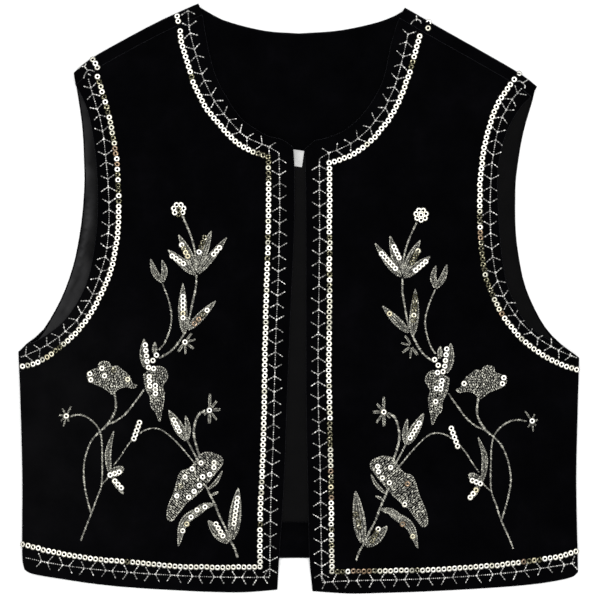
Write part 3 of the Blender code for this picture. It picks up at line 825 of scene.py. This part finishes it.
class Finish:
    """A material, with what helps to make the nodes that feed its shader."""

    def __init__(self, name):
        self.made = bpy.data.materials.new(name)
        self.made.use_nodes = True
        self.nodes = self.made.node_tree.nodes
        self.where = self.nodes.new("ShaderNodeTexCoord").outputs["Object"]

    def feed(self, node, inputs):
        """Sets a node's inputs, and links those that are given as sockets."""
        for name, value in inputs.items():
            if isinstance(value, bpy.types.NodeSocket):
                self.made.node_tree.links.new(value, node.inputs[name])
            else:
                node.inputs[name].default_value = value
        return node

    def add(self, kind, **inputs):
        return self.feed(self.nodes.new(kind), inputs)

    def shade(self, inputs):
        self.feed(self.nodes["Principled BSDF"], inputs)

    def noise(self, scale, detail, roughness=0.5):
        node = self.add("ShaderNodeTexNoise", Scale=scale, Detail=detail, Roughness=roughness)
        return self.feed(node, {"Vector": self.where}).outputs["Fac"]

    def bands(self, direction, scale, distortion=0.0):
        node = self.add("ShaderNodeTexWave", Scale=scale, Distortion=distortion, Vector=self.where)
        node.bands_direction = direction
        return node.outputs["Fac"]

    def ramp(self, source, *stops):
        node = self.add("ShaderNodeValToRGB", Fac=source)
        elements = node.color_ramp.elements
        for element, (position, colour) in zip(elements, (stops[0], stops[-1])):
            element.position = position
            element.color = (*colour, 1)
        for position, colour in stops[1:-1]:
            elements.new(position).color = (*colour, 1)
        return node.outputs["Color"]

    def attribute(self, name, output):
        node = self.nodes.new("ShaderNodeAttribute")
        node.attribute_name = name
        return node.outputs[output]

    def blend(self, share, first, second, way="MIX"):
        """The first colour at a share of 0, and the second, or both multiplied, at 1."""
        node = self.nodes.new("ShaderNodeMix")
        node.data_type = "RGBA"
        node.blend_type = way
        return self.feed(node, {"Factor": share, "A": first, "B": second}).outputs["Result"]

    def plus(self, first, second, share):
        """The first value and a share of the second."""
        node = self.nodes.new("ShaderNodeMath")
        node.operation = "MULTIPLY_ADD"
        return self.feed(node, {0: second, 1: share, 2: first}).outputs["Value"]

    def bump(self, height, distance, strength):
        node = self.add("ShaderNodeBump", Height=height, Distance=distance, Strength=strength)
        self.shade({"Normal": node.outputs["Normal"]})


def velvet():
    """Black cotton velvet: dark seen straight on, soft bloom where the pile is seen flat, and
    painted bloom in places.
    """
    cloth = Finish("Velvet cloth")
    brushed = cloth.noise(34, 4, 0.6)
    flat = cloth.ramp(
        brushed, (0.30, (0.0006, 0.0006, 0.0008)), (0.55, (0.0010, 0.0010, 0.0013)),
        (0.78, (0.0017, 0.0016, 0.0021)),
    )
    # Painted bloom: the paler velvet colour mixed in where the bloom is painted
    bloom_colour_painted = cloth.ramp(
        brushed, (0.30, (0.0020, 0.0020, 0.0022)), (0.72, (0.0034, 0.0033, 0.0037)),
    )
    cloth.shade({
        "Base Color": cloth.blend(cloth.attribute("painted_bloom", "Fac"), flat, bloom_colour_painted),
        "Roughness": 1.0, "Specular IOR Level": 0.0, "Sheen Weight": 0.16,
        "Sheen Roughness": 0.36, "Sheen Tint": (0.60, 0.60, 0.68, 1),
    })
    tufts, pile = cloth.noise(420, 3), cloth.noise(2600, 2)
    cloth.bump(cloth.plus(tufts, pile, 0.7), distance=0.0004, strength=0.55)
    return cloth.made


def satin():
    """Dark lining with a fine twill, a soft shine and painted highlights on its folds."""
    cloth = Finish("Satin lining")
    cloudy = cloth.noise(60, 3)
    plain = cloth.ramp(cloudy, (0.3, (0.0004, 0.0004, 0.0005)), (0.75, (0.0010, 0.0009, 0.0011)))
    # Painted highlight: the lighter lining colour mixed in where highlights are painted
    highlight_colour_painted = cloth.ramp(cloudy, (0.3, (0.050, 0.050, 0.052)), (0.75, (0.062, 0.062, 0.064)))
    cloth.shade({
        "Base Color": cloth.blend(cloth.attribute("shine", "Fac"), plain, highlight_colour_painted),
        "Roughness": 0.40, "Specular IOR Level": 0.025,
    })
    twill = cloth.bands("DIAGONAL", 900, 1.2)
    cloth.bump(cloth.plus(cloth.noise(260, 3), twill, 0.35), distance=0.00025, strength=0.5)
    return cloth.made


def tape():
    """White woven tape with a fine rib."""
    cloth = Finish("White tape")
    colour = cloth.ramp(cloth.noise(120, 3), (0.3, (0.44, 0.44, 0.44)), (0.7, (0.60, 0.60, 0.59)))
    cloth.shade({"Base Color": colour, "Roughness": 0.75})
    cloth.bump(cloth.bands("Y", 700), distance=0.0002, strength=0.5)
    return cloth.made


def thread(name, low, high, warmth):
    """Twisted silver-grey thread with light and dark strands."""
    strand = Finish(name)
    dark, light = ((level, level * 0.985, level * warmth) for level in (low, high))
    colour = strand.ramp(strand.noise(900, 3, 0.6), (0.3, dark), (0.72, light))
    strand.shade({
        "Base Color": strand.blend(1.0, colour, strand.attribute("tone", "Color"), "MULTIPLY"),
        "Roughness": 0.45, "Specular IOR Level": 0.4, "Sheen Weight": 0.15,
    })
    strand.bump(strand.bands("DIAGONAL", 1500, 2.0), distance=0.0002, strength=0.6)
    return strand.made


def sequin_film():
    """Metallised film: each sequin has its own tone; darker ones are painted shade, with speckled
    painted glints.
    """
    film = Finish("Sequin film")
    # Painted glints: a dark speckle with bright points over the darker tints
    glint_speckle_painted = film.ramp(film.noise(820, 2), (0.52, (0.06, 0.06, 0.05)), (0.62, (1.0, 1.0, 1.0)))
    tone, glints_painted = (film.attribute("tone", output) for output in ("Color", "Alpha"))
    film.shade({
        "Base Color": film.blend(glints_painted, tone, glint_speckle_painted, "MULTIPLY"),
        "Metallic": 1.0, "Roughness": 0.24,
    })
    film.bump(film.noise(900, 2), distance=0.00012, strength=0.25)
    return film.made


def floor_paper():
    paper = Finish("Pale paper")
    colour = paper.ramp(paper.noise(5, 3), (0.3, (0.90, 0.90, 0.90)), (0.7, (0.93, 0.93, 0.93)))
    paper.shade({"Base Color": colour, "Roughness": 0.9, "Specular IOR Level": 0.1})
    return paper.made


# Sequins and stitches

class Ground:
    """The cloths that trim lies on, highest first at each place."""

    def __init__(self, pieces):
        depsgraph = bpy.context.evaluated_depsgraph_get()
        self.names = list(pieces)
        self.trees = [BVHTree.FromObject(pieces[name], depsgraph) for name in self.names]

    def at(self, points):
        """The height at each point, and the number of the cloth that carries it."""
        heights = np.stack([cast_height(tree, points, OFF_CLOTH) for tree in self.trees])
        return heights.max(axis=0), heights.argmax(axis=0)

    def shared(self, carriers, usable):
        """The name of each cloth that carries some, and which ones."""
        for number, name in enumerate(self.names):
            chosen = (carriers == number) & usable
            if chosen.any():
                yield name, chosen


def ring_template():
    """A cupped sequin as rings: upper face from the hole out, then the lower face back in."""
    profile = (
        (SEQUIN_HOLE, 0.10), (1.45, 0.02), (SEQUIN_RADIUS, 0.30),
        (SEQUIN_RADIUS - 0.03, 0.20), (1.45, -0.08), (SEQUIN_HOLE, 0.0),
    )
    angle = np.arange(SEQUIN_SIDES) * 2 * math.pi / SEQUIN_SIDES
    points = [
        np.column_stack([r * np.cos(angle), r * np.sin(angle), np.full(SEQUIN_SIDES, z)])
        for r, z in profile
    ]
    rings = np.arange(len(profile) * SEQUIN_SIDES).reshape(len(profile), -1)
    return np.vstack(points), banded([*rings, rings[0]])


# Painted shade and highlight on each sequin's film: lifted on the flat of the cup, darker at the
# hole, darker still at the rim and on the underside
PAINTED_RING_SHADE = (0.75, 1.05, 0.42, 0.30, 0.8, 0.5)
# Each letter's tints: the film's own silver, gold and copper, with all but silver darker as painted
# shade
SHINES = {
    "s": ((0.93, 0.92, 0.87), (0.88, 0.86, 0.79), (0.95, 0.95, 0.93), (0.90, 0.88, 0.82)),
    "p": ((0.72, 0.71, 0.62), (0.62, 0.61, 0.53), (0.78, 0.77, 0.69)),
    "g": ((0.80, 0.76, 0.58), (0.72, 0.66, 0.48), (0.86, 0.83, 0.68)),
    "c": ((0.66, 0.48, 0.34), (0.56, 0.42, 0.32)),
    "d": ((0.66, 0.63, 0.46), (0.50, 0.48, 0.34), (0.82, 0.79, 0.64), (0.40, 0.38, 0.28)),
}
# Each letter's share of painted speckled glints
PAINTED_GLINT_SHARE = {"s": 0.0, "p": 0.35, "g": 0.25, "c": 0.8, "d": 1.0}


def sequins(name, middles, ways, tones, heights, slopes, finish):
    """Joined sequins, each leaning over the next one along its row."""
    template, quads = ring_template()
    count = len(middles)
    silver = tones == "s"
    lean = np.radians(np.where(silver, 4.5, 6.0) + random.normal(0, 1.4, count))
    roll = np.radians(random.normal(0, 2.0, count) * np.where(silver, 1, 3))
    along, across = (
        unit(np.column_stack([way, np.sum(way * slopes, axis=1)])) for way in (ways, square(ways))
    )
    up = np.cross(along, across)
    tipped = along * np.cos(lean)[:, None] - up * np.sin(lean)[:, None]
    up = np.cross(tipped, across)
    rolled = across * np.cos(roll)[:, None] + up * np.sin(roll)[:, None]
    axes = np.stack([tipped, rolled, np.cross(tipped, rolled)], axis=1)
    heights = heights + SEQUIN_REST + 0.5 * np.linalg.norm(slopes, axis=1)
    points = np.column_stack([middles, heights])[:, None] + template @ axes
    faces = (quads[None] + (np.arange(count) * len(template))[:, None, None]).reshape(-1, 4)
    piece = mesh_piece(name, points.reshape(-1, 3), faces, np.zeros((0, 3), int), finish)
    # Each sequin's tint, with painted shade for the darker letters, and as alpha its share of
    # painted glints
    colours = np.ones((count, 4))
    for number, tone in enumerate(tones):
        palette = SHINES[tone]
        colours[number] = (*palette[random.integers(len(palette))], PAINTED_GLINT_SHARE[tone])
    # Painted shade and highlight ring by ring, over the film's warm tint
    shade = np.repeat(PAINTED_RING_SHADE, SEQUIN_SIDES)
    tinted = np.repeat(colours[:, None], len(template), axis=1)
    tinted[..., :3] *= shade[None, :, None] * (1, 0.99, 0.93)
    point_layer(piece, "tone", tinted)
    return piece


def stitch_template():
    """A stitch from 0 to 1 as share along it, aside and up, plumpest in the middle."""
    stations = ((0.13, 0.70), (0.50, 1.04), (0.88, 0.64))
    sides = 6
    angle = np.arange(sides) * 2 * math.pi / sides
    points = [(0.0, 0.0, 0.0)]
    for share, girth in stations:
        points += [(share, girth * math.cos(a), girth * math.sin(a)) for a in angle]
    points.append((1.0, 0.0, 0.0))
    rings = 1 + np.arange(len(stations) * sides).reshape(len(stations), sides)
    quads = np.roll(banded(rings)[:, ::-1], 1, axis=1)
    last = len(points) - 1
    start = np.stack([np.zeros(sides, int), np.roll(rings[0], -1), rings[0]], axis=1)
    end = np.stack([np.full(sides, last), rings[-1], np.roll(rings[-1], -1)], axis=1)
    return np.array(points), quads, np.vstack([start, end])


def stitched(name, starts, ends, widths, low, high, finish):
    """Joined stitches that lie on the cloth at their two ends."""
    template, quads, triangles = stitch_template()
    share, aside, up = template.T
    count = len(starts)
    run = ends - starts
    length = np.maximum(np.linalg.norm(run, axis=1), 0.05)
    side = square(run / length[:, None])
    plan = starts[:, None] + share[:, None] * run[:, None]
    plan = plan + (aside * widths[:, None] / 2)[..., None] * side[:, None]
    rest = low[:, None] * (1 - share) + high[:, None] * share
    thick = np.minimum(0.62 * widths, 0.75)[:, None]
    rise = thick * (0.5 * up + 0.28 + 0.3 * np.sin(share * math.pi))
    points = np.concatenate([plan, (rest + rise - SUNK_ENDS)[..., None]], axis=2).reshape(-1, 3)
    offset = (np.arange(count) * len(template))[:, None, None]
    piece = mesh_piece(
        name, points, (quads[None] + offset).reshape(-1, 4),
        (triangles[None] + offset).reshape(-1, 3), finish,
    )
    tone = np.clip(np.exp(random.normal(-0.12, 0.68, count)), 0.14, 2.0)
    point_layer(piece, "tone", np.repeat(tone, len(template)))
    return piece


class Work:
    """Stitches gathered before they are made: start, end and width."""

    def __init__(self):
        self.starts, self.ends, self.widths = [], [], []

    def add(self, starts, ends, width):
        starts = np.atleast_2d(starts)
        self.starts.append(starts)
        self.ends.append(np.atleast_2d(ends))
        self.widths.append(np.broadcast_to(width, len(starts)))

    def arrays(self):
        starts = np.vstack(self.starts)
        ends = np.vstack(self.ends)
        widths = np.concatenate(self.widths) * random.uniform(0.86, 1.14, len(starts))
        jitter = random.normal(0, 0.06, (2, len(starts), 2))
        return starts + jitter[0], ends + jitter[1], widths


def running(work, line, pitch, width, overlap):
    """Stitches end to end along a line."""
    total = lengths(line)[-1]
    count = max(1, round(total / pitch))
    edges = np.linspace(0, total, count + 1)
    starts, _ = at_lengths(line, edges[:-1])
    ends, _ = at_lengths(line, np.minimum(edges[1:] + overlap, total))
    work.add(starts, ends, width)


def rope(work, line, width):
    """Stem stitch: slanted stitches one after the other, a little uneven."""
    total = lengths(line)[-1]
    apart, reach = 1.15, 1.35
    places = np.arange(0, total - 0.4, apart)
    starts, way = at_lengths(line, places)
    ends, far_way = at_lengths(line, np.minimum(places + reach, total))
    slant = width * random.uniform(0.28, 0.50, (len(places), 1))
    work.add(starts - square(way) * slant, ends + square(far_way) * slant, 0.34 + 0.20 * width)


def fork_marks(trim, line):
    """Way along the line of each fork and the way that it opens."""
    total = lengths(line)[-1]
    if trim.marks[0] == "nodes":
        nodes = sided(trim.side, trim.points)
        _, opens, before = trim.marks
        marks = []
        for node in nodes[before:-1]:
            nearest = np.argmin(np.linalg.norm(line - node, axis=1))
            marks.append((lengths(line)[nearest], opens))
            opens = -opens
        return marks
    first, repeat, partner = trim.marks
    marks = []
    for place in np.arange(first - repeat, total, repeat):
        marks += [(place, 1), (place + partner, -1)]
    return [(place, opens) for place, opens in marks if 1.0 < place < total - 2.0]


def feather(work, trim):
    """The chained middle line and a pair of arms at each fork."""
    line = fine_curve(sided(trim.side, trim.points))
    marks = fork_marks(trim, line)
    total = lengths(line)[-1]
    cuts = [0.0, *[place for place, _ in marks], total]
    opens = [-1, *[way for _, way in marks], 1]
    for start, end, way in zip(cuts, cuts[1:], opens):
        if end - start < 0.8:
            continue
        stretch, _ = at_lengths(line, np.linspace(start, end, 12))
        running(work, stretch, pitch=1.75, width=0.78 if way == 1 else 1.06, overlap=-0.4)
    for place, way in marks:
        (node,), (along,) = at_lengths(line, np.array([place]))
        for hand in (-1, 1):
            aside = square(along) * hand
            reach = random.uniform(0.86, 1.08)
            arm = [
                node + aside * FORK_ASIDE * out * reach + along * way * FORK_AHEAD * ahead * reach
                for out, ahead in ((0, 0), (0.48, 0.43), (1, 1))
            ]
            width = random.uniform(0.76, 1.08)
            running(work, fine_curve(arm), pitch=2.1, width=width, overlap=-0.2)
        work.add(node - along * 0.8, node + along * 0.8, width=1.15)


def leaf_line(leaf):
    base = np.array([leaf.out, leaf.up])
    tip = np.array([leaf.tip_out, leaf.tip_up])
    middle = (base + tip) / 2 + square(tip - base) * leaf.lean
    return fine_curve([base, middle, tip])


def leaf_halfwidth(share, width):
    """Full in the lower half, drawn out to a fine tip."""
    return width / 2 * np.sin(math.pi * np.clip(share, 0, 1) ** 0.85) ** 0.75 * (1 - 0.25 * share)


def placed(side, points):
    """A form of the right front's spray, or the same one as it lies on the left front."""
    points = np.atleast_2d(np.asarray(points, float))
    if side == RIGHT:
        return points * (RIGHT, 1)
    distance = np.linalg.norm(points[:, None] - SHIFTS[None, :, :2], axis=2)
    weight = 1 / (distance + 4.0) ** 2
    weight /= weight.sum(axis=1)[:, None]
    return points + weight @ SHIFTS[:, 2:]


def worked_leaf(work, side, leaf):
    """Fishbone satin from the middle vein to both edges, then an outline."""
    line = placed(side, leaf_line(leaf))
    total = lengths(line)[-1]
    places = np.arange(0.5, total - 0.8, 1.12)
    veins, way = at_lengths(line, places)
    half = leaf_halfwidth(places / total, leaf.width)
    wide = half > 0.5
    shares = np.linspace(0.02, 1.0, 20)
    spine, spine_way = at_lengths(line, shares * total)
    rim = square(spine_way) * leaf_halfwidth(shares, leaf.width)[:, None]
    for hand in (-1, 1):
        aside = square(way) * hand
        inner = veins[wide] + aside[wide] * 0.25
        outer = (veins + aside * half[:, None] + way * (0.75 * half)[:, None])[wide]
        reach = outer - inner
        middle = inner + reach * random.uniform(0.42, 0.62, (len(inner), 1))
        work.add(inner, middle - reach * 0.05, LEAF_THREAD)
        work.add(middle + reach * 0.05, outer, LEAF_THREAD)
        running(work, spine + rim * hand, pitch=1.8, width=0.8, overlap=-0.4)
    tip, _ = at_lengths(line, np.array([total - 3.0, total]))
    work.add(tip[:1], tip[1:], width=0.8)


def worked_fill(work, side, fill):
    """Long and short satin: broken rows across the field, and a twisted outline."""
    outline = placed(side, fill.outline)
    edge = fine_curve(np.vstack([outline, outline[:1]]))
    way = heading(math.radians(fill.turn)) * (side, 1)
    across = square(way)
    offsets = edge @ across
    for offset in np.arange(offsets.min() + 0.4, offsets.max() - 0.3, fill.apart):
        gap = offsets - offset
        change = np.flatnonzero(gap[:-1] * gap[1:] < 0)
        share = gap[change] / (gap[change] - gap[change + 1])
        crossing = edge[change] + share[:, None] * (edge[change + 1] - edge[change])
        along = np.sort(crossing @ way)
        for low, high in zip(along[::2], along[1::2]):
            start = low + 0.2 - random.uniform(0, 0.8) * fill.reach
            while start < high - SHORTEST:
                length = fill.reach * random.uniform(0.6, 1.0)
                a = max(start, low)
                b = min(start + length, high)
                slant, beside = random.normal(0, (0.24 * fill.apart, 0.13 * fill.apart))
                if b - a > SHORTEST:
                    near = way * a + across * (offset + beside - slant)
                    far = way * b + across * (offset + beside + slant)
                    work.add(near, far, random.uniform(0.50, 0.76) * fill.apart)
                start += length + 0.35
    running(work, edge, pitch=1.9, width=0.74, overlap=-0.45)


def worked_ray(work, side, ray):
    """A small petal: slanted stitches on both sides of its middle line."""
    way = heading(math.radians(ray.turn))
    reach = np.array([1.2, 0.5 * ray.length + 0.6, ray.length - 0.6])
    line = fine_curve(placed(side, (ray.out, ray.up) + reach[:, None] * way))
    total = lengths(line)[-1]
    places = np.arange(0.2, total - 0.3, 0.95)
    veins, along = at_lengths(line, places)
    half = ray.width / 2 * np.sin(math.pi * (places + 0.9) / (total + 1.4)) ** 0.5
    for hand in (-1, 1):
        aside = square(along) * hand
        ends = veins + aside * half[:, None] + along * (0.5 + 0.5 * half)[:, None]
        work.add(veins + aside * 0.12, ends, width=0.5)


def bead_row(side, row):
    start = np.array([row.out, row.up])
    if row.to_out is None:
        run, way = np.zeros(2), np.array(LONE_WAY)
    else:
        run = np.array([row.to_out, row.to_up]) - start
        way = unit(run)
    points = start + np.linspace(0, 1, len(row.shines))[:, None] * run
    return sided(side, points), np.broadcast_to(way * (side, 1), points.shape), list(row.shines)


def head_row(side, head):
    """A middle sequin and the ring that leans round it."""
    turn = np.linspace(-0.5 * math.pi, 1.5 * math.pi, len(head.shines) - 1, endpoint=False)
    ring = np.stack([np.cos(turn), np.sin(turn)], axis=1) * head.radius
    points = sided(side, np.vstack([(0, 0), ring]) + (head.out, head.up))
    way = unit(np.roll(points[1:], -1, axis=0) - points[1:])
    return points, np.vstack([(0, -1), way]), list(head.shines)


def row_tones(row, count):
    """The shine of each sequin along a row of trim."""
    tones = np.full(count, "s")
    share = np.arange(count) / (count - 1)
    for low, high, mix in PAINTED_SHADE_RUNS[row.side, row.name] if count > SHORT_ROW else ():
        within = (share >= low) & (share <= high)
        tones[within] = np.resize(list(mix), np.count_nonzero(within))
    tones[random.random(count) < 0.02] = "p"
    return tones


def trim_row(row):
    points, way = evened(sided(row.side, row.points), SEQUIN_PITCH)
    points = points + square(way) * random.normal(0, 0.13, len(points))[:, None]
    return points, way, row_tones(row, len(points))


def sewn_sequins(label, parts, ground, finish, under=0.0):
    """Sequins split by the cloth that carries them, over stitches of the height given by under."""
    points = np.vstack([part[0] for part in parts])
    ways = np.vstack([part[1] for part in parts])
    tones = np.array([tone for part in parts for tone in part[2]])
    heights, carriers = ground.at(points)
    step = 0.9
    slopes = []
    for shift in ((step, 0), (0, step)):
        ahead, _ = ground.at(points + shift)
        behind, _ = ground.at(points - shift)
        fall = ahead - behind
        between = (np.abs(fall) > 0.6) & (ahead > OFF_CLOTH) & (behind > OFF_CLOTH)
        slopes.append(np.where(between, 0, np.clip(fall / (2 * step), -0.6, 0.6)))
    slopes = np.stack(slopes, axis=1)
    return {
        carrier: sequins(
            f"{carrier}_{label}", points[chosen], ways[chosen], tones[chosen],
            heights[chosen] + under, slopes[chosen], finish,
        )
        for carrier, chosen in ground.shared(carriers, heights > OFF_CLOTH)
    }


def sewn_stitches(label, work, ground, finish):
    starts, ends, widths = work.arrays()
    low, _ = ground.at(starts)
    high, _ = ground.at(ends)
    _, carriers = ground.at((starts + ends) / 2)
    on_cloth = (low > OFF_CLOTH) & (high > OFF_CLOTH)
    steep = np.abs(high - low) > 0.8
    low[steep] = high[steep] = np.maximum(low, high)[steep]
    return {
        carrier: stitched(
            f"{carrier}_{label}", starts[chosen], ends[chosen], widths[chosen],
            low[chosen], high[chosen], finish,
        )
        for carrier, chosen in ground.shared(carriers, on_cloth)
    }


# Camera and light

def studio():
    scene = bpy.context.scene
    scene.view_settings.view_transform = "Standard"
    camera_data = bpy.data.cameras.new("Camera")
    camera_data.lens = LENS
    camera_data.sensor_width = SENSOR
    camera = linked("Camera", camera_data)
    distance = VIEW_WIDTH * LENS / SENSOR
    camera.location = (VIEW_MIDDLE[0] * MM, VIEW_MIDDLE[1] * MM, (VEST_TOP + distance) * MM)
    scene.camera = camera
    light_data = bpy.data.lights.new("Soft box", "AREA")
    light_data.shape = "SQUARE"
    light_data.size = 1.7
    light_data.energy = 22.0
    linked("Soft box", light_data).location = (0.0, 0.15, 1.9)
    world = bpy.data.worlds.new("Studio")
    world.use_nodes = True
    backdrop = world.node_tree.nodes["Background"]
    backdrop.inputs["Color"].default_value = (1.0, 1.0, 1.0, 1)
    backdrop.inputs["Strength"].default_value = 1.0
    scene.world = world
    mesh = bpy.data.meshes.new("Floor")
    half = 4.0
    mesh.from_pydata(
        [(-half, -half, 0), (half, -half, 0), (half, half, 0), (-half, half, 0)], [], [(0, 1, 2, 3)]
    )
    mesh.materials.append(floor_paper())
    floor = linked("Floor", mesh)
    floor.location.z = -0.0003


def dressed():
    black = velvet()
    facing_relief = partial(waves, seed=31, longest=30, amount=0.02)
    tag_relief = partial(waves, seed=41, longest=18, amount=0.03)
    # The right front's painted bloom and the lining's painted highlights ride on the cloths as
    # vertex values
    sheets = {cloth.node: cloth for cloth in (
        Cloth(
            "front_right", black, 2.0, 2.2, 0.9, velvet_front(RIGHT), ("painted_bloom", painted_velvet_bloom),
            (0.228, 0.476), 0.0820,
        ),
        Cloth(
            "front_left", black, 2.0, 2.2, 0.9, velvet_front(LEFT), None, (0.228, 0.474), 0.0824,
        ),
        Cloth(
            "back_lining", satin(), 1.0, 3.0, 0.4, lining_relief, ("shine", painted_satin_highlight),
            (0.450, 0.396), 0.1345,
        ),
        Cloth(
            "back_neck_facing", black, 1.0, 3.0, 0.4, facing_relief, None, (0.302, 0.118), 0.0252,
        ),
        Cloth(
            "back_hem_facing", black, 1.0, 3.0, 0.4, facing_relief, None, (0.445, 0.034), 0.0128,
        ),
        Cloth("label", tape(), 1.0, 1.2, 0.35, tag_relief, None, (0.030, 0.0135), None),
    )}
    work = welded("back_panel")
    back_tree = BVHTree.FromBMesh(work)
    work.free()
    made = {
        node: laid_cloth(f"{node}_cloth", cloth, back_tree if node.startswith("front") else None)
        for node, cloth in sheets.items()
    }
    made["back_panel"] = soft_copy("back_panel_cloth", "back_panel", 8.0, black)
    for node, piece in made.items():
        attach(piece, "root")
        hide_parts(node)
    return made, sheets


def main():
    studio()
    made, sheets = dressed()
    bpy.context.view_layer.update()
    ground = Ground({name: made[name] for name in ("front_right", "front_left", "back_panel")})
    film = sequin_film()
    trim_thread = thread("Trim thread", 0.32, 0.66, 0.94)
    spray_thread = thread("Spray thread", 0.22, 0.56, 0.84)
    extras = {name: [] for name in made}

    def kept(group):
        for carrier, piece in group.items():
            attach(piece, "root")
            extras[carrier].append(piece)

    kept(sewn_sequins("sequins", [trim_row(row) for row in SEQUIN_ROWS], ground, film))
    trim_work = Work()
    for trim in TRIMS:
        feather(trim_work, trim)
    for side, points in SHOULDER_STROKES:
        line = fine_curve(sided(side, points))
        running(trim_work, line, pitch=1.5, width=1.05, overlap=0.1)
    kept(sewn_stitches("trim", trim_work, ground, trim_thread))
    spray = Work()
    beads = []
    for side in (RIGHT, LEFT):
        for stem in STEMS:
            rope(spray, fine_curve(placed(side, stem.points)), stem.width)
        for leaf in LEAVES:
            worked_leaf(spray, side, leaf)
        for fill in FILLS:
            worked_fill(spray, side, fill)
        for ray in RAYS:
            worked_ray(spray, side, ray)
        beads.append(head_row(side, HEADS[side]))
        beads += [bead_row(side, Beads(*row)) for row in BEADS[side]]
    kept(sewn_stitches("spray", spray, ground, spray_thread))
    kept(sewn_sequins("spray_sequins", beads, ground, film, SPRAY_LIFT))


main()
